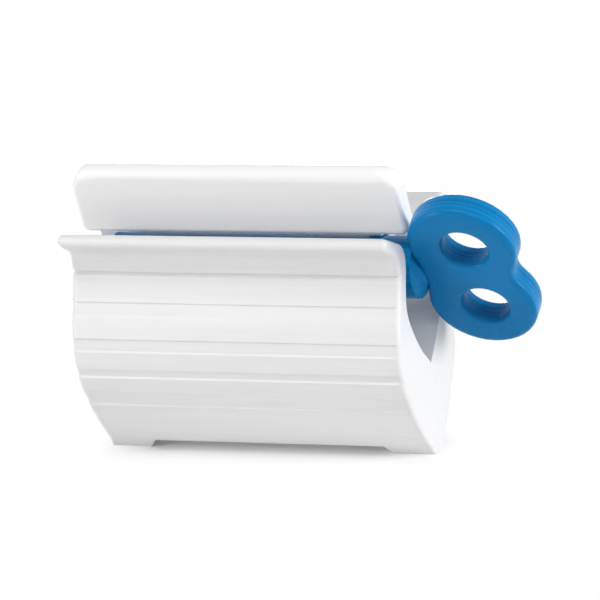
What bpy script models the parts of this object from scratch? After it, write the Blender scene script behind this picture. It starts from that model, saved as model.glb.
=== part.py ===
"""Toothpaste tube squeezer: a white trough, a slanted jaw over it and a blue winding key.

Metres, +Z up. X runs along the trough with the key's handle at +X, and -Y is the front.
The tube's crimped end goes between jaw and front lip into the key's slot, and turning
the key winds the empty tube up in the chamber.
"""

import math

import bmesh
import bpy
from mathutils import Matrix, Vector

# Driving dimensions of the shell
BODY_LENGTH = 0.076
LIP_SPAN = 0.037
KEEL_WIDTH = 0.0052
BULGE_WIDTH = 0.034
NECK_WIDTH = 0.0254
NECK_HEIGHT = 0.043
LIP_RISE = 0.0099
CHAMBER_WIDTH = 0.0207
CHAMBER_DEPTH = 0.0256
THROAT_RISE = 0.0026

# Driving dimensions of the jaw
BAR_END_INSET = 0.0003
BAR_HEIGHT = 0.016
BAR_THICKNESS = 0.005
BAR_LEAN = math.radians(17)
BAR_FRONT = 0.0048
BAR_CLEARANCE = 0.0017

# Driving dimensions of the key
KEY_DROP = 0.0017
ROLLER_RADIUS = 0.0067
LOBE_DIAMETER = 0.0238
LOBE_SPACING = 0.0178
WAIST_OUTER = 0.0094
WAIST_INNER = 0.0107
FINGER_HOLE_DIAMETER = 0.0103
FINGER_HOLE_SHIFT = 0.0007
HANDLE_THICKNESS = 0.006
HANDLE_GAP = 0.0003
KEY_REST_ANGLE = math.radians(31)

# Clearances
SEAT_GAP = 0.0003
RUNNING_GAP = 0.0003
CUT_OVERRUN = 0.002
MERGE_DISTANCE = 0.000001

# Shell details
END_ROUND = 0.0013
FOOT_ROUND = 0.0004
FOOT_LENGTH = 0.0094
NOTCH_HEIGHT = 0.0022
NOTCH_SLOPE_RUN = 0.0018
LIP_TIP_RADIUS = 0.00145
LIP_FILLET = 0.003
LIP_UNDERSIDE_SLOPE = math.radians(30)
FUNNEL_SLOPE = math.radians(26)
THROAT_WIDTH = 0.0166
THROAT_ROUND = 0.0048
GROOVE_WIDTH = 0.0009
GROOVE_DEPTH = 0.0005
FLUTE_DEPTH = 0.00035
FLUTE_EDGE = 0.0004
FLANK_STEP = 0.0014
CHAMBER_STEPS = 14

# Flank outline: share of the neck height, share of the bulge's half width
FLANK_SHARES = (
    (0.0, 0.153),
    (0.16, 0.50),
    (0.33, 0.80),
    (0.47, 0.955),
    (0.62, 1.0),
    (0.77, 0.94),
    (0.90, 0.82),
    (1.0, 0.747),
)

# Shallow flutes along the flank: lower and upper edge as shares of the neck height
FLUTE_SHARES = (
    (0.300, 0.372),
    (0.472, 0.522),
    (0.612, 0.684),
    (0.802, 0.862),
)

# Chamber outline: share of the height from floor to throat, share of the half width
CHAMBER_SHARES = (
    (0.0, 0.0),
    (0.17, 0.44),
    (0.43, 0.87),
    (0.59, 1.0),
    (0.76, 0.94),
    (0.93, 0.82),
    (1.0, 0.802),
)

# Jaw details
BAR_TOP_CORNER = 0.0052
BAR_FOOT_CORNER = 0.0015
BAR_TOP_ROUND = 0.0024
BAR_EDGE_ROUND = 0.0009
TAIL_CHEEK_INSET = 0.0022
HANDLE_CHEEK_INSET = 0.0082
CHEEK_THICKNESS = 0.0032
ARM_FRONT = 0.0008
ARM_RISE = 0.007
ARM_START = 0.001
ARM_BITE = 0.0011

# Key details
TAIL_RADIUS = 0.005
BEAD_RADIUS = 0.0056
BEAD_LENGTH = 0.0014
BEAD_CHAMFER = 0.0006
HANDLE_ROUND = 0.0012
FINGER_HOLE_ROUND = 0.0010
HANDLE_SINK = 0.0002
CONE_LENGTH = 0.0021
NECK_BITE = 0.0025
SLOT_WIDTH = 0.0018
SLOT_END_MARGIN = 0.0025

ROUND_SEGMENTS = 48
RIM_STEPS = 3
CORNER_STEPS = 6
SMOOTH_ANGLE = math.radians(32)

# Places worked out from the sizes
SHELL_HEIGHT = NECK_HEIGHT + LIP_RISE
THROAT_HEIGHT = NECK_HEIGHT + THROAT_RISE
CHAMBER_FLOOR = THROAT_HEIGHT - CHAMBER_DEPTH
KEY_AXIS_HEIGHT = NECK_HEIGHT - KEY_DROP
BAR_FOOT_HEIGHT = KEY_AXIS_HEIGHT + ROLLER_RADIUS + BAR_CLEARANCE
HALF_LENGTH = BODY_LENGTH / 2
BAR_HALF_LENGTH = HALF_LENGTH - BAR_END_INSET
TAIL_CHEEK_OUTER = -HALF_LENGTH + TAIL_CHEEK_INSET
TAIL_CHEEK_INNER = TAIL_CHEEK_OUTER + CHEEK_THICKNESS
HANDLE_CHEEK_OUTER = HALF_LENGTH - HANDLE_CHEEK_INSET
HANDLE_CHEEK_INNER = HANDLE_CHEEK_OUTER - CHEEK_THICKNESS
LOBE_RADIUS = LOBE_DIAMETER / 2
HANDLE_CENTRE = HALF_LENGTH + HANDLE_GAP + LOBE_RADIUS
OVERALL_MIN = -HALF_LENGTH
OVERALL_MAX = HANDLE_CENTRE + LOBE_RADIUS
FRAME_SHIFT = -(OVERALL_MIN + OVERALL_MAX) / 2

# Axes of the slabs: outline in the Y-Z plane, depth along X, and outline in X-Z, depth along Y
ALONG_X = Matrix(((0, 0, 1, 0), (1, 0, 0, 0), (0, 1, 0, 0), (0, 0, 0, 1)))
ALONG_Y = Matrix(((1, 0, 0, 0), (0, 0, -1, 0), (0, 1, 0, 0), (0, 0, 0, 1)))


def clear_scene():
    """Remove whatever the scene holds."""
    for item in list(bpy.data.objects):
        bpy.data.objects.remove(item, do_unlink=True)


def plastic(name, colour, roughness):
    """Plain glossy plastic."""
    material = bpy.data.materials.new(name)
    material.use_nodes = True
    shader = material.node_tree.nodes["Principled BSDF"]
    shader.inputs["Base Color"].default_value = (*colour, 1.0)
    shader.inputs["Roughness"].default_value = roughness
    shader.inputs["Metallic"].default_value = 0.0
    return material


def knot_slope(table, index):
    """Slope of the smooth curve at one of its given points."""
    before = table[max(index - 1, 0)]
    after = table[min(index + 1, len(table) - 1)]
    return (after[1] - before[1]) / (after[0] - before[0])


def smooth_value(table, place):
    """Value at a place on the smooth curve through (place, value) pairs."""
    index = 0
    while index < len(table) - 2 and place > table[index + 1][0]:
        index += 1
    start, start_value = table[index]
    end, end_value = table[index + 1]
    span = end - start
    t = (place - start) / span
    return (
        (2 * t**3 - 3 * t**2 + 1) * start_value
        + (t**3 - 2 * t**2 + t) * knot_slope(table, index) * span
        + (3 * t**2 - 2 * t**3) * end_value
        + (t**3 - t**2) * knot_slope(table, index + 1) * span
    )


def arc(centre, radius, start, end, steps):
    """Points along an arc from one angle to another, both ends included."""
    points = []
    for step in range(steps + 1):
        angle = start + (end - start) * step / steps
        points.append((centre[0] + radius * math.cos(angle), centre[1] + radius * math.sin(angle)))
    return points


def mirrored(half):
    """Closed outline from its right half, which runs from bottom to top."""
    return half + [(-x, y) for x, y in reversed(half)]


def outward(outline, index):
    """Mitred outward direction at a corner of a counter-clockwise outline."""
    here = Vector(outline[index])
    before = (here - Vector(outline[index - 1])).normalized()
    after = (Vector(outline[(index + 1) % len(outline)]) - here).normalized()
    first = Vector((before.y, -before.x))
    second = Vector((after.y, -after.x))
    return (first + second) / (1 + first.dot(second))


def inset(outline, distance):
    """The outline moved inwards by a distance."""
    moved = []
    for index, point in enumerate(outline):
        moved.append(tuple(Vector(point) - outward(outline, index) * distance))
    return moved


def mesh_object(name, bm, parent, material):
    """Object from a bmesh, shaded smooth across shallow angles."""
    bmesh.ops.remove_doubles(bm, verts=bm.verts, dist=MERGE_DISTANCE)
    bmesh.ops.recalc_face_normals(bm, faces=bm.faces)
    mesh = bpy.data.meshes.new(name)
    bm.to_mesh(mesh)
    bm.free()
    mesh.shade_smooth()
    mesh.set_sharp_from_angle(angle=SMOOTH_ANGLE)
    mesh.materials.append(material)
    item = bpy.data.objects.new(name, mesh)
    item.parent = parent
    bpy.context.collection.objects.link(item)
    return item


def loft(rings):
    """Closed bmesh through rings of equally many points, with a flat cap at each end."""
    bm = bmesh.new()
    loops = [[bm.verts.new(point) for point in ring] for ring in rings]
    count = len(loops[0])
    for lower, upper in zip(loops, loops[1:]):
        for i in range(count):
            j = (i + 1) % count
            bm.faces.new((lower[i], lower[j], upper[j], upper[i]))
    bm.faces.new(list(reversed(loops[0])))
    bm.faces.new(loops[-1])
    return bm


def slab(outline, rims, depth, axes, overrun=0.0):
    """Plate of an outline, with the rim radius given for each of its points.

    A negative radius flares the rim outwards, which is the cutter of a hole with
    rounded edges; overrun carries such a cutter on past both faces.
    """
    directions = [outward(outline, index) for index in range(len(outline))]
    turns = [math.pi / 2 * step / RIM_STEPS for step in range(RIM_STEPS + 1)]
    levels = [(1, turn) for turn in turns]
    rings = []
    for side, turn in [(-1, turn) for turn in reversed(turns)] + levels:
        ring = []
        for point, direction, rim in zip(outline, directions, rims):
            place = Vector(point) - direction * rim * (1 - math.cos(turn))
            level = depth / 2 - abs(rim) * (1 - math.sin(turn))
            ring.append(axes @ Vector((place.x, place.y, side * level)))
        rings.append(ring)
    if overrun:
        reach = axes @ Vector((0, 0, overrun)) - axes @ Vector((0, 0, 0))
        rings.insert(0, [point - reach for point in rings[0]])
        rings.append([point + reach for point in rings[-1]])
    return loft(rings)


def combine(target, tool, operation):
    """Boolean with a tool object that stays as a hidden wire guide."""
    tool.hide_render = True
    tool.display_type = "WIRE"
    modifier = target.modifiers.new(tool.name, "BOOLEAN")
    modifier.operation = operation
    modifier.solver = "EXACT"
    modifier.object = tool


def flute_inset(height):
    """How far the flutes draw the flank in at a height."""
    for low, high in FLUTE_SHARES:
        inside_low = low * NECK_HEIGHT + FLUTE_EDGE / 2
        inside_high = high * NECK_HEIGHT - FLUTE_EDGE / 2
        if inside_low < height < inside_high:
            return FLUTE_DEPTH
    return 0.0


def flank_heights():
    """Heights of the flank's points: each flute's edges, and even steps between."""
    stops = [0.0]
    for low, high in FLUTE_SHARES:
        stops.append(low * NECK_HEIGHT)
        stops.append(low * NECK_HEIGHT + FLUTE_EDGE)
        stops.append(high * NECK_HEIGHT - FLUTE_EDGE)
        stops.append(high * NECK_HEIGHT)
    stops.append(NECK_HEIGHT - GROOVE_WIDTH / 2)
    heights = []
    for low, high in zip(stops, stops[1:]):
        count = max(1, round((high - low) / FLANK_STEP))
        for step in range(count):
            heights.append(low + (high - low) * step / count)
    heights.append(stops[-1])
    return heights


def flank_half():
    """Outer side of the shell from the keel's edge up to the neck."""
    points = []
    for height in flank_heights():
        width = smooth_value(FLANK_SHARES, height / NECK_HEIGHT) * BULGE_WIDTH / 2
        points.append((width - flute_inset(height), height))
    points[0] = (KEEL_WIDTH / 2, 0.0)
    return points


def lip_half():
    """Groove, neck, underside and round tip of the lip, ending at its ridge."""
    neck = NECK_WIDTH / 2
    groove = [
        (neck - GROOVE_DEPTH, NECK_HEIGHT),
        (neck, NECK_HEIGHT + GROOVE_WIDTH / 2),
    ]
    tip = (LIP_SPAN / 2 - LIP_TIP_RADIUS, SHELL_HEIGHT - LIP_TIP_RADIUS)
    sine = math.sin(LIP_UNDERSIDE_SLOPE)
    cosine = math.cos(LIP_UNDERSIDE_SLOPE)
    underside = (tip[0] + LIP_TIP_RADIUS * sine, tip[1] - LIP_TIP_RADIUS * cosine)
    fillet_y = neck + LIP_FILLET
    fillet_z = underside[1] + ((fillet_y - underside[0]) * sine - LIP_FILLET) / cosine
    quarter = math.pi / 2
    fillet = arc((fillet_y, fillet_z), LIP_FILLET, math.pi, quarter + LIP_UNDERSIDE_SLOPE, CORNER_STEPS)
    start = LIP_UNDERSIDE_SLOPE - quarter
    return groove + fillet + arc(tip, LIP_TIP_RADIUS, start, quarter + FUNNEL_SLOPE, 2 * CORNER_STEPS)


def chamber_half():
    """Inner side of the shell from the chamber's floor up to the throat."""
    points = []
    for step in range(CHAMBER_STEPS + 1):
        share = step / CHAMBER_STEPS
        width = smooth_value(CHAMBER_SHARES, share) * CHAMBER_WIDTH / 2
        points.append((width, CHAMBER_FLOOR + share * (THROAT_HEIGHT - CHAMBER_FLOOR)))
    return points


def funnel_half():
    """Round from the throat into the slope that falls from the lip's ridge."""
    centre = (THROAT_WIDTH / 2 + THROAT_ROUND, THROAT_HEIGHT)
    return arc(centre, THROAT_ROUND, math.pi, math.pi / 2 + FUNNEL_SLOPE, CORNER_STEPS)


def build_shell(parent, material):
    """Trough: one section all along, rounded at the ends, with a notch between the feet."""
    outside = flank_half() + lip_half()
    inside = list(reversed(chamber_half()[:-1] + funnel_half()))
    half = outside + inside
    outline = half + [(-y, z) for y, z in reversed(half[:-1])]
    rims_half = [FOOT_ROUND] + [END_ROUND] * (len(outside) - 1) + [0.0] * len(inside)
    rims = rims_half + list(reversed(rims_half[:-1]))
    shell = mesh_object("base_shell", slab(outline, rims, BODY_LENGTH, ALONG_X), parent, material)

    foot_inner = HALF_LENGTH - FOOT_LENGTH
    overrun_run = CUT_OVERRUN * NOTCH_SLOPE_RUN / NOTCH_HEIGHT
    notch = mirrored([
        (foot_inner + overrun_run, -CUT_OVERRUN),
        (foot_inner - NOTCH_SLOPE_RUN, NOTCH_HEIGHT),
    ])
    cutter = slab(notch, [0.0] * len(notch), BULGE_WIDTH, ALONG_Y)
    combine(shell, mesh_object("foot_notch_cutter", cutter, parent, material), "DIFFERENCE")
    return shell


def bar_place(rise, depth):
    """Point of the leaning bar's section, from its front bottom edge, as (y, z)."""
    sine = math.sin(BAR_LEAN)
    cosine = math.cos(BAR_LEAN)
    y = -BAR_FRONT - rise * sine + depth * cosine
    z = BAR_FOOT_HEIGHT + rise * cosine + depth * sine
    return (y, z)


def bar_outline():
    """Front view of the bar from its foot up, and the rim radius at each point."""
    foot_centre = (BAR_HALF_LENGTH - BAR_FOOT_CORNER, BAR_FOOT_CORNER)
    top_centre = (BAR_HALF_LENGTH - BAR_TOP_CORNER, BAR_HEIGHT - BAR_TOP_CORNER)
    foot = arc(foot_centre, BAR_FOOT_CORNER, -math.pi / 2, 0, CORNER_STEPS)
    top = arc(top_centre, BAR_TOP_CORNER, 0, math.pi / 2, 2 * CORNER_STEPS)
    growth = [step / (2 * CORNER_STEPS) for step in range(2 * CORNER_STEPS + 1)]
    rims = [BAR_EDGE_ROUND] * len(foot)
    rims += [BAR_EDGE_ROUND + (BAR_TOP_ROUND - BAR_EDGE_ROUND) * share for share in growth]
    return mirrored(foot + top), rims + list(reversed(rims))


def cheek_outline():
    """Cheek that fills the chamber below the throat, with the arm that rises behind the key."""
    chamber = inset(mirrored(chamber_half())[1:], SEAT_GAP)
    rear_top = len(chamber_half()) - 2
    ordered = chamber[rear_top + 1:] + chamber[:rear_top + 1]
    arm_depth = BAR_THICKNESS - ARM_BITE
    arm = [
        bar_place(ARM_RISE, BAR_THICKNESS),
        bar_place(ARM_RISE, arm_depth),
        bar_place(ARM_START, arm_depth),
        (ARM_FRONT, chamber[rear_top][1]),
    ]
    return ordered + arm


def build_jaw(parent, material):
    """Leaning bar, carried from behind by two arms that grow out of bearing cheeks."""
    outline, rims = bar_outline()
    middle_y, middle_z = bar_place(0.0, BAR_THICKNESS / 2)
    lean = Matrix.Rotation(BAR_LEAN, 4, "X")
    axes = Matrix.Translation((0, middle_y, middle_z)) @ lean @ ALONG_Y
    jaw = mesh_object("upper_jaw", slab(outline, rims, BAR_THICKNESS, axes), parent, material)

    cheek = cheek_outline()
    edges = [0.0] * len(cheek)
    cheeks = {
        "tail": (TAIL_CHEEK_OUTER, TAIL_CHEEK_INNER, TAIL_RADIUS),
        "handle": (HANDLE_CHEEK_INNER, HANDLE_CHEEK_OUTER, ROLLER_RADIUS),
    }
    for end_name, (low, high, shaft_radius) in cheeks.items():
        place = Matrix.Translation(((low + high) / 2, 0, 0)) @ ALONG_X
        tool = slab(cheek, edges, CHEEK_THICKNESS, place)
        combine(jaw, mesh_object(f"{end_name}_cheek_tool", tool, parent, material), "UNION")

        circle = arc((0, KEY_AXIS_HEIGHT), shaft_radius + RUNNING_GAP, 0, math.tau, ROUND_SEGMENTS)[:-1]
        length = CHEEK_THICKNESS + 2 * CUT_OVERRUN
        bore = slab(circle, [0.0] * ROUND_SEGMENTS, length, place)
        combine(jaw, mesh_object(f"{end_name}_bore_cutter", bore, parent, material), "DIFFERENCE")
    return jaw


def waist_fillet(half_waist):
    """Radius of the hollow between the lobes, and the angle at which it meets them."""
    half_spacing = LOBE_SPACING / 2
    radius = (half_waist**2 + half_spacing**2 - LOBE_RADIUS**2) / (2 * (LOBE_RADIUS - half_waist))
    return radius, math.atan2(half_spacing, half_waist + radius)


def handle_outline():
    """Figure of eight in the X-Z plane, with a shallower waist on the shaft's side."""
    half_spacing = LOBE_SPACING / 2
    outer_radius, outer_turn = waist_fillet(WAIST_OUTER)
    inner_radius, inner_turn = waist_fillet(WAIST_INNER)
    steps = 4 * CORNER_STEPS
    half = math.pi
    upper = arc((0, half_spacing), LOBE_RADIUS, -outer_turn, half + inner_turn, steps)
    lower = arc((0, -half_spacing), LOBE_RADIUS, half - inner_turn, math.tau + outer_turn, steps)
    inner_centre = (-WAIST_INNER - inner_radius, 0)
    outer_centre = (WAIST_OUTER + outer_radius, 0)
    inner = arc(inner_centre, inner_radius, inner_turn, -inner_turn, CORNER_STEPS)[1:-1]
    outer = arc(outer_centre, outer_radius, half + outer_turn, half - outer_turn, CORNER_STEPS)[1:-1]
    return [(HANDLE_CENTRE + x, z) for x, z in upper + inner + lower + outer]


def shaft_stations():
    """Places and radii along the key's shaft, from the tail's bead to the cone in the handle."""
    shoulder = TAIL_CHEEK_OUTER - SEAT_GAP
    bead_end = shoulder - BEAD_LENGTH
    roller_end = TAIL_CHEEK_INNER + SEAT_GAP
    cone_end = HALF_LENGTH + CONE_LENGTH
    neck_radius = HANDLE_THICKNESS / 2 - HANDLE_SINK
    return [
        (bead_end, BEAD_RADIUS - BEAD_CHAMFER),
        (bead_end + BEAD_CHAMFER, BEAD_RADIUS),
        (shoulder, BEAD_RADIUS),
        (shoulder, TAIL_RADIUS),
        (roller_end, TAIL_RADIUS),
        (roller_end, ROLLER_RADIUS),
        (HALF_LENGTH, ROLLER_RADIUS),
        (cone_end, neck_radius),
        (cone_end + NECK_BITE, neck_radius),
    ]


def build_shaft():
    """Turned shaft along X."""
    rings = []
    for x, radius in shaft_stations():
        rings.append([(x, y, z) for y, z in arc((0, 0), radius, 0, math.tau, ROUND_SEGMENTS)[:-1]])
    return loft(rings)


def build_key(parent, material):
    """One moulding: flat handle with two finger holes, and a slotted roller."""
    outline = handle_outline()
    plate = slab(outline, [HANDLE_ROUND] * len(outline), HANDLE_THICKNESS, ALONG_Y)
    key = mesh_object("winding_key", plate, parent, material)
    tools = [("key_shaft_tool", build_shaft(), "UNION")]

    hole_radius = FINGER_HOLE_DIAMETER / 2
    for name, side in (("upper", 1), ("lower", -1)):
        centre = (HANDLE_CENTRE + FINGER_HOLE_SHIFT, side * LOBE_SPACING / 2)
        circle = arc(centre, hole_radius, 0, math.tau, ROUND_SEGMENTS)[:-1]
        flare = [-FINGER_HOLE_ROUND] * ROUND_SEGMENTS
        hole = slab(circle, flare, HANDLE_THICKNESS, ALONG_Y, CUT_OVERRUN)
        tools.append((f"{name}_finger_hole_cutter", hole, "DIFFERENCE"))

    end_radius = SLOT_WIDTH / 2
    slot_start = TAIL_CHEEK_INNER + SLOT_END_MARGIN + end_radius
    slot_end = HANDLE_CHEEK_INNER - SLOT_END_MARGIN - end_radius
    quarter = math.pi / 2
    slot_outline = arc((slot_end, 0), end_radius, -quarter, quarter, CORNER_STEPS)
    slot_outline += arc((slot_start, 0), end_radius, quarter, 3 * quarter, CORNER_STEPS)
    slot_depth = 2 * (ROLLER_RADIUS + CUT_OVERRUN)
    slot = slab(slot_outline, [0.0] * len(slot_outline), slot_depth, ALONG_Y)
    tools.append(("winding_slot_cutter", slot, "DIFFERENCE"))

    for name, bm, operation in tools:
        tool = mesh_object(name, bm, key, material)
        combine(key, tool, operation)
    key.location = (0.0, 0.0, KEY_AXIS_HEIGHT)
    key.rotation_euler = (KEY_REST_ANGLE, 0.0, 0.0)
    return key


def build():
    """Make the three pieces about the middle of the whole object's footprint."""
    clear_scene()
    assembly = bpy.data.objects.new("tube_squeezer", None)
    assembly.location = (FRAME_SHIFT, 0.0, 0.0)
    bpy.context.collection.objects.link(assembly)
    white = plastic("white_plastic", (0.86, 0.865, 0.88), 0.32)
    jaw_white = plastic("jaw_white_plastic", (0.86, 0.865, 0.88), 0.32)
    blue = plastic("blue_plastic", (0.015, 0.15, 0.37), 0.3)
    build_shell(assembly, white)
    build_jaw(assembly, jaw_white)
    build_key(assembly, blue)


build()
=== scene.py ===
"""Toothpaste tube squeezer in a plain white studio: moulded finishes, light and camera.

Metres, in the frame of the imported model: X along the trough with the key's handle at +X,
-Y to the front and +Z up.
"""

import math

import bpy
from mathutils import Matrix, Vector


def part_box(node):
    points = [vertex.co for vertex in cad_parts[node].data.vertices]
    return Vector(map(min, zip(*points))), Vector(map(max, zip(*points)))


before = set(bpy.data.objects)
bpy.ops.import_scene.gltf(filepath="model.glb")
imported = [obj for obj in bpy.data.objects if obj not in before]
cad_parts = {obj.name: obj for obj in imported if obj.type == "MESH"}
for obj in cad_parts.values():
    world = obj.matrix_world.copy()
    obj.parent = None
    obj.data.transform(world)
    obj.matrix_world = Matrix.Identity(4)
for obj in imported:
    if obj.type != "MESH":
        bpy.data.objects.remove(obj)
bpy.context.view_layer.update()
UP = Vector((0, 0, 1))
WHITE = (1, 1, 1, 1)

# Sockets of the Mix node when it mixes colours
MIX_SHARE = 0
MIX_FIRST = 6
MIX_SECOND = 7
MIX_RESULT = 2

# Sockets of the Mix Shader node
BLEND_SHARE = 0
BLEND_FIRST = 1
BLEND_SECOND = 2

# Camera: where it stands, how it is rolled, and what the middle of its picture is on
VIEW_AZIMUTH = math.radians(23.7)
VIEW_ELEVATION = math.radians(17.0)
VIEW_ROLL = math.radians(6.25)
VIEW_DISTANCE = 1.236
VIEW_REACH = 20
LENS = 344
AIM_HEIGHT = 0.030
AIM_RIGHT = 0.00815
AIM_UP = 0.00313

# Soft lights: their places, sizes and powers
OBJECT_MIDDLE = (0, 0, 0.03)
SOFTBOXES = {
    "top_softbox": {"place": (0, -0.36, 0.82), "size": 0.4, "power": 3.0},
    "sloped_softbox": {"place": (0.45, -0.5, 0.6), "size": 0.4, "power": 1.6},
    "front_softbox": {"place": (-0.72, -0.68, 0.28), "size": 0.4, "power": 4.7},
    "side_softbox": {"place": (0.85, 0.12, 0.18), "size": 0.36, "power": 5.05},
    "back_softbox": {"place": (-0.4, 0.9, 0.12), "size": 0.22, "power": 3.0},
}

# Room and floor: how bright the room is as a light and as a background, and the line under
# the keel along which the floor keeps the shadow, with the distances over which it fades
ROOM_LIGHT = 0.05
BACKGROUND_LIGHT = 1.0
FLOOR_SIZE = 6.0
FLOOR_WHITE = 0.94
KEEL_MIDDLE = -0.012
KEEL_HALF = 0.026
SHADOW_REACH = (0.003, 0.014)

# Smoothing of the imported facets
CREASE_ANGLE = math.radians(35)
WELD_DISTANCE = 0.000002

# Colours, roughness and shine of the three mouldings; the jaw's white is paler than the shell's as
# painted light
SHELL_PALE = (0.818, 0.816, 0.818)
SHELL_DEEP = (0.774, 0.772, 0.774)
SHELL_ROUGHNESS = 0.38
# Painted light: the jaw's white is made paler than the shell's white plastic, standing in for more
# light on its leaning bar
JAW_PALE_PAINTED_LIGHT = (0.925, 0.921, 0.92)
JAW_DEEP_PAINTED_LIGHT = (0.89, 0.886, 0.885)
JAW_ROUGHNESS = 0.36
WHITE_SHINE = 0.4
BLUE_PALE = (0.004, 0.252, 0.585)
BLUE_DEEP = (0.002, 0.143, 0.362)
BLUE_ROUGHNESS = 0.27
BLUE_SHINE = 0.1

# Patterns in the plastic: blotches a metre, and how finely they break up
CLOUDS = {"scale": 45, "detail": 3}
GRAIN = {"scale": 2600, "detail": 2}
SWELLS = {"scale": 70, "detail": 1}
RUBBED_STRETCH = (140, 60, 90)
RUBBED_DETAIL = 4
RUBBED_LEVELS = (0.52, 0.68)
DRAWN_STRETCH = (25, 1100, 1100)
DRAWN_DETAIL = 2
DRAWN_LEVELS = (0.3, 0.7)
KEY_TILT = math.radians(31)
PARTING_SCALE = 1200
PARTING_DETAIL = 2
PARTING_LEVELS = (0.36, 0.64)

# What the patterns do to the relief, the colour and the roughness
PATTERN_MIDDLE = 0.5
GRAIN_RELIEF = 0.25
LINE_RELIEF = 0.35
SWELL_RELIEF = 0.4
RELIEF_STRENGTH = 0.12
RELIEF_DEPTH = 0.0001
CLOUD_TONE = 0.4
LINE_TONE = 0.6
CLOUD_ROUGHNESS = 0.08
LINE_ROUGHNESS = 0.08
RUBBED_ROUGHNESS = 0.05


class Value:
    """A number that varies over a surface; arithmetic on it adds Math nodes."""

    def __init__(self, nodes, socket):
        self.nodes = nodes
        self.socket = socket

    def maths(self, operation, first, second):
        settings = {"operation": operation}
        node = self.nodes.add("ShaderNodeMath", settings, {0: first, 1: second})
        return Value(self.nodes, node.outputs["Value"])

    def __add__(self, other):
        return self.maths("ADD", self, other)

    def __radd__(self, other):
        return self.maths("ADD", other, self)

    def __sub__(self, other):
        return self.maths("SUBTRACT", self, other)

    def __rsub__(self, other):
        return self.maths("SUBTRACT", other, self)

    def __mul__(self, other):
        return self.maths("MULTIPLY", self, other)

    def __rmul__(self, other):
        return self.maths("MULTIPLY", other, self)

    def __pow__(self, other):
        return self.maths("POWER", self, other)

    def __rpow__(self, other):
        return self.maths("POWER", other, self)

    def __abs__(self):
        return self.maths("ABSOLUTE", self, 0)


class Nodes:
    """A node tree under construction, with one method that adds any node."""

    def __init__(self, tree):
        self.tree = tree
        tree.nodes.clear()

    def add(self, kind, settings, sockets):
        """Add a node: its settings first, then a value or a link for each socket."""
        node = self.tree.nodes.new(kind)
        for name, setting in settings.items():
            if name == "stops":
                for element, (place, shade) in zip(node.color_ramp.elements, setting):
                    element.position = place
                    element.color = (shade, shade, shade, 1)
            else:
                setattr(node, name, setting)
        for name, value in sockets.items():
            if isinstance(value, Value):
                value = value.socket
            if isinstance(value, bpy.types.NodeSocket):
                self.tree.links.new(value, node.inputs[name])
            else:
                node.inputs[name].default_value = value
        return node

    def noise(self, place, scale, detail):
        """Cloudy pattern from 0 to 1, with so many blotches a metre."""
        sockets = {"Vector": place, "Scale": scale, "Detail": detail}
        return Value(self, self.add("ShaderNodeTexNoise", {}, sockets).outputs["Fac"])

    def lines(self, place, direction, scale, detail):
        """Uneven lines across a direction, with so many a metre."""
        dot = {"operation": "DOT_PRODUCT"}
        along = self.add("ShaderNodeVectorMath", dot, {0: place, 1: direction}).outputs["Value"]
        sockets = {"W": along, "Scale": scale, "Detail": detail}
        noise = self.add("ShaderNodeTexNoise", {"noise_dimensions": "1D"}, sockets)
        return Value(self, noise.outputs["Fac"])

    def stretched(self, place, stretch):
        """The place times a number for each axis: a small one draws a pattern out along it."""
        times = {"operation": "MULTIPLY"}
        return self.add("ShaderNodeVectorMath", times, {0: place, 1: stretch}).outputs["Vector"]

    def ramp(self, value, low, high):
        """Even step from 0 to 1 between two levels of a value."""
        settings = {"stops": ((low, 0.0), (high, 1.0))}
        return Value(self, self.add("ShaderNodeValToRGB", settings, {"Fac": value}).outputs["Color"])

    def showing(self):
        """1 for the rays that show the background, straight, mirrored or through glass."""
        path = self.add("ShaderNodeLightPath", {}, {}).outputs
        straight = Value(self, path["Is Camera Ray"])
        mirrored = Value(self, path["Is Glossy Ray"])
        return straight + mirrored + Value(self, path["Is Transmission Ray"])

    def tint(self, share, deep, pale):
        """Deep colour where the share is 0, pale colour where it is 1."""
        sockets = {MIX_SHARE: share, MIX_FIRST: (*deep, 1), MIX_SECOND: (*pale, 1)}
        return self.add("ShaderNodeMix", {"data_type": "RGBA"}, sockets).outputs[MIX_RESULT]

    def blend(self, share, first, second):
        """First shader where the share is 0, second shader where it is 1."""
        sockets = {BLEND_SHARE: share, BLEND_FIRST: first, BLEND_SECOND: second}
        return self.add("ShaderNodeMixShader", {}, sockets).outputs["Shader"]


def moulded_plastic(name, pale, deep, roughness, shine, tool_lines):
    """Injection-moulded plastic: faint clouding, rubbed patches, tool lines and a fine grain."""
    material = bpy.data.materials.new(name)
    material.use_nodes = True
    nodes = Nodes(material.node_tree)
    place = nodes.add("ShaderNodeTexCoord", {}, {}).outputs["Object"]
    cloud = nodes.noise(place, **CLOUDS)
    grain = nodes.noise(place, **GRAIN)
    swell = nodes.noise(place, **SWELLS)
    lines = tool_lines(nodes, place)
    patches = nodes.noise(nodes.stretched(place, RUBBED_STRETCH), 1, RUBBED_DETAIL)
    rubbed = nodes.ramp(patches, *RUBBED_LEVELS)
    height = grain * GRAIN_RELIEF + lines * LINE_RELIEF + swell * SWELL_RELIEF
    sockets = {"Strength": RELIEF_STRENGTH, "Distance": RELIEF_DEPTH, "Height": height}
    relief = nodes.add("ShaderNodeBump", {}, sockets)
    tone = cloud * CLOUD_TONE + lines * LINE_TONE
    cloud_change = (cloud - PATTERN_MIDDLE) * CLOUD_ROUGHNESS
    line_change = (lines - PATTERN_MIDDLE) * LINE_ROUGHNESS
    sockets = {
        "Base Color": nodes.tint(tone, deep, pale),
        "Roughness": roughness + cloud_change + line_change + rubbed * RUBBED_ROUGHNESS,
        "Specular IOR Level": shine,
        "Normal": relief.outputs["Normal"],
    }
    shader = nodes.add("ShaderNodeBsdfPrincipled", {}, sockets)
    nodes.add("ShaderNodeOutputMaterial", {}, {"Surface": shader.outputs["BSDF"]})
    return material


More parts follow.
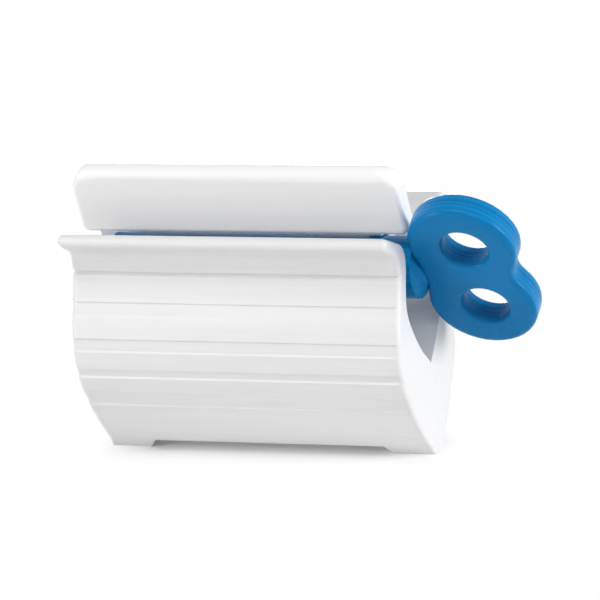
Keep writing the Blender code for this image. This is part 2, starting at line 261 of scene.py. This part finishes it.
def drawing_lines(nodes, place):
    """Faint lines along the trough, left by the polishing of the mould."""
    lines = nodes.noise(nodes.stretched(place, DRAWN_STRETCH), 1, DRAWN_DETAIL)
    return nodes.ramp(lines, *DRAWN_LEVELS)


def parting_lines(nodes, place):
    """Faint lines round the key's edges, parallel to its flat faces."""
    across_handle = (0, math.cos(KEY_TILT), math.sin(KEY_TILT))
    lines = nodes.lines(place, across_handle, PARTING_SCALE, PARTING_DETAIL)
    return nodes.ramp(lines, *PARTING_LEVELS)


def smooth_faces(piece):
    """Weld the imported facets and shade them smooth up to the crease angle."""
    tree = bpy.data.node_groups.new("smooth_faces", "GeometryNodeTree")
    tree.interface.new_socket("Mesh", in_out="INPUT", socket_type="NodeSocketGeometry")
    tree.interface.new_socket("Mesh", in_out="OUTPUT", socket_type="NodeSocketGeometry")
    nodes = Nodes(tree)
    facets = nodes.add("NodeGroupInput", {}, {}).outputs["Mesh"]
    sockets = {"Geometry": facets, "Name": "custom_normal"}
    bare = nodes.add("GeometryNodeRemoveAttribute", {}, sockets).outputs["Geometry"]
    sockets = {"Geometry": bare, "Distance": WELD_DISTANCE}
    welded = nodes.add("GeometryNodeMergeByDistance", {}, sockets).outputs["Geometry"]
    sockets = {"Geometry": welded, "Shade Smooth": True}
    faces = nodes.add("GeometryNodeSetShadeSmooth", {"domain": "FACE"}, sockets)
    angle = nodes.add("GeometryNodeInputMeshEdgeAngle", {}, {}).outputs["Unsigned Angle"]
    sockets = {0: angle, 1: CREASE_ANGLE}
    shallow = nodes.add("FunctionNodeCompare", {"operation": "LESS_THAN"}, sockets)
    sockets = {"Geometry": faces.outputs["Geometry"], "Shade Smooth": shallow.outputs["Result"]}
    edges = nodes.add("GeometryNodeSetShadeSmooth", {"domain": "EDGE"}, sockets)
    nodes.add("NodeGroupOutput", {}, {"Mesh": edges.outputs["Geometry"]})
    piece.modifiers.new("smooth_faces", "NODES").node_group = tree
    weighted = piece.modifiers.new("flat_faces", "WEIGHTED_NORMAL")
    weighted.keep_sharp = True


def dress(node, material):
    """Give a CAD node its finish and its smooth faces."""
    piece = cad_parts[node]
    piece.data.materials.clear()
    piece.data.materials.append(material)
    smooth_faces(piece)


def floor_paint():
    """Matt white that keeps the shadow near the keel and further off shows as plain white."""
    material = bpy.data.materials.new("floor_white")
    material.use_nodes = True
    nodes = Nodes(material.node_tree)
    colour = (FLOOR_WHITE, FLOOR_WHITE, FLOOR_WHITE, 1)
    matt = nodes.add("ShaderNodeBsdfDiffuse", {}, {"Color": colour})
    glow = nodes.add("ShaderNodeEmission", {}, {"Strength": BACKGROUND_LIGHT})
    place = nodes.add("ShaderNodeTexCoord", {}, {}).outputs["Object"]
    axes = nodes.add("ShaderNodeSeparateXYZ", {}, {"Vector": place}).outputs
    along = abs(Value(nodes, axes["X"]) - KEEL_MIDDLE) - KEEL_HALF
    beyond = along.maths("MAXIMUM", along, 0)
    across = Value(nodes, axes["Y"])
    distance = (beyond * beyond + across * across) ** 0.5
    share = nodes.showing() * nodes.ramp(distance, *SHADOW_REACH)
    surface = nodes.blend(share, matt.outputs["BSDF"], glow.outputs["Emission"])
    nodes.add("ShaderNodeOutputMaterial", {}, {"Surface": surface})
    return material


def studio_floor():
    """Square white floor under the object."""
    half = FLOOR_SIZE / 2
    mesh = bpy.data.meshes.new("studio_floor")
    corners = [(-half, -half, 0), (half, -half, 0), (half, half, 0), (-half, half, 0)]
    mesh.from_pydata(corners, [], [(0, 1, 2, 3)])
    mesh.materials.append(floor_paint())
    floor = bpy.data.objects.new("studio_floor", mesh)
    bpy.context.collection.objects.link(floor)


def white_room():
    """Faint even light from all round, behind a background that shows as plain white."""
    world = bpy.data.worlds.new("white_room")
    world.use_nodes = True
    nodes = Nodes(world.node_tree)
    sockets = {"Color": WHITE, "Strength": ROOM_LIGHT}
    light = nodes.add("ShaderNodeBackground", {}, sockets).outputs["Background"]
    sockets = {"Color": WHITE, "Strength": BACKGROUND_LIGHT}
    seen = nodes.add("ShaderNodeBackground", {}, sockets).outputs["Background"]
    surface = nodes.blend(nodes.showing(), light, seen)
    nodes.add("ShaderNodeOutputWorld", {}, {"Surface": surface})
    bpy.context.scene.world = world


def softbox(name, place, size, power):
    """Square soft light that faces the object."""
    lamp = bpy.data.lights.new(name, "AREA")
    lamp.shape = "SQUARE"
    lamp.size = size
    lamp.energy = power
    box = bpy.data.objects.new(name, lamp)
    box.location = place
    back = Vector(place) - Vector(OBJECT_MIDDLE)
    box.rotation_euler = back.to_track_quat("Z", "Y").to_euler()
    bpy.context.collection.objects.link(box)


def camera():
    """Camera at the photograph's angle, rolled a little as it was held."""
    right = Vector((math.cos(VIEW_AZIMUTH), math.sin(VIEW_AZIMUTH), 0))
    flat_back = Vector((math.sin(VIEW_AZIMUTH), -math.cos(VIEW_AZIMUTH), 0))
    back = flat_back * math.cos(VIEW_ELEVATION) + UP * math.sin(VIEW_ELEVATION)
    up = UP * math.cos(VIEW_ELEVATION) - flat_back * math.sin(VIEW_ELEVATION)
    turned_right = right * math.cos(VIEW_ROLL) - up * math.sin(VIEW_ROLL)
    turned_up = right * math.sin(VIEW_ROLL) + up * math.cos(VIEW_ROLL)
    shell_low, shell_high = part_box("base_shell")
    trough = Vector(((shell_low.x + shell_high.x) / 2, 0, AIM_HEIGHT))
    aim = trough + turned_right * AIM_RIGHT + turned_up * AIM_UP
    turn = Matrix((turned_right, turned_up, back)).transposed().to_4x4()
    lens = bpy.data.cameras.new("camera")
    lens.lens = LENS
    lens.clip_end = VIEW_REACH
    stand = bpy.data.objects.new("camera", lens)
    stand.matrix_world = Matrix.Translation(aim + back * VIEW_DISTANCE) @ turn
    bpy.context.collection.objects.link(stand)
    bpy.context.scene.camera = stand


camera()
white_room()
studio_floor()
for name, light in SOFTBOXES.items():
    softbox(name, **light)

shell_plastic = moulded_plastic(
    "shell_plastic", SHELL_PALE, SHELL_DEEP, SHELL_ROUGHNESS, WHITE_SHINE, drawing_lines
)
# Painted light: the jaw's paler white stands in for more light on its leaning bar
jaw_plastic = moulded_plastic(
    "jaw_plastic", JAW_PALE_PAINTED_LIGHT, JAW_DEEP_PAINTED_LIGHT, JAW_ROUGHNESS, WHITE_SHINE, drawing_lines
)
key_plastic = moulded_plastic(
    "key_plastic", BLUE_PALE, BLUE_DEEP, BLUE_ROUGHNESS, BLUE_SHINE, parting_lines
)
dress("base_shell", shell_plastic)
dress("upper_jaw", jaw_plastic)
dress("winding_key", key_plastic)

bpy.context.scene.view_settings.view_transform = "Standard"
